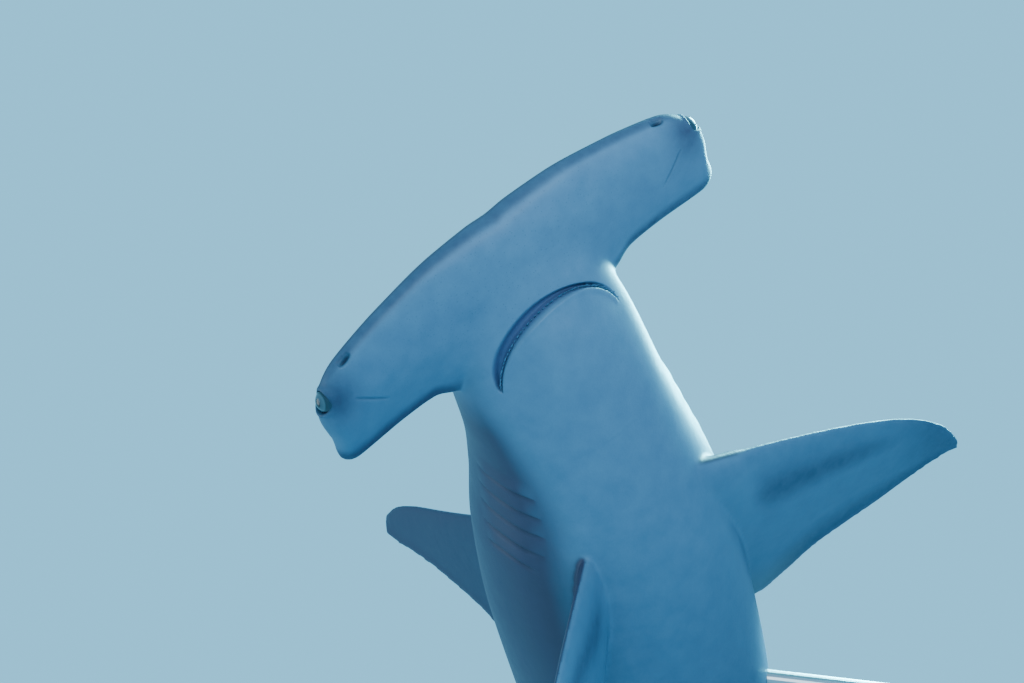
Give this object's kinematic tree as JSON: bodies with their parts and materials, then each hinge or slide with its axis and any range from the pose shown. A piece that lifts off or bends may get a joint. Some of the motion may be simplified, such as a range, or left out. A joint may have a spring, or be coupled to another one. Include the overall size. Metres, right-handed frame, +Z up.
{
  "type": "hammerhead shark display model",
  "caption": "Life-size great hammerhead shark in a banking turn, held above a flat base by two upright rods.",
  "frame": {"origin": "middle of the underside of the stand's base, on the floor", "axes": "+X towards the head along the animal's length, +Y to its left, +Z up"},
  "size_m": [2.7904, 1.1982, 1.4991],
  "materials": {
    "skin": "satin shark skin, slate blue-grey above and pale blue-grey below",
    "fin_skin": "satin fin skin, dusky towards the tips",
    "eye": "glossy dark eye",
    "stand_base": "matt pale grey paint",
    "stand_rod": "brushed steel"
  },
  "bodies": {
    "root": {"head": "skin", "gill_region": "skin", "trunk_front": "skin", "trunk_rear": "skin", "tail_stem": "skin", "tail_fin": "fin_skin", "first_dorsal_fin": "fin_skin", "second_dorsal_fin": "fin_skin", "anal_fin": "fin_skin", "pectoral_fin_left": "fin_skin", "pectoral_fin_right": "fin_skin", "pelvic_fin_left": "fin_skin", "pelvic_fin_right": "fin_skin", "eye_left": "eye", "eye_right": "eye", "stand_base": "stand_base", "stand_rod_front": "stand_rod", "stand_rod_rear": "stand_rod"}
  },
  "joints": []
}
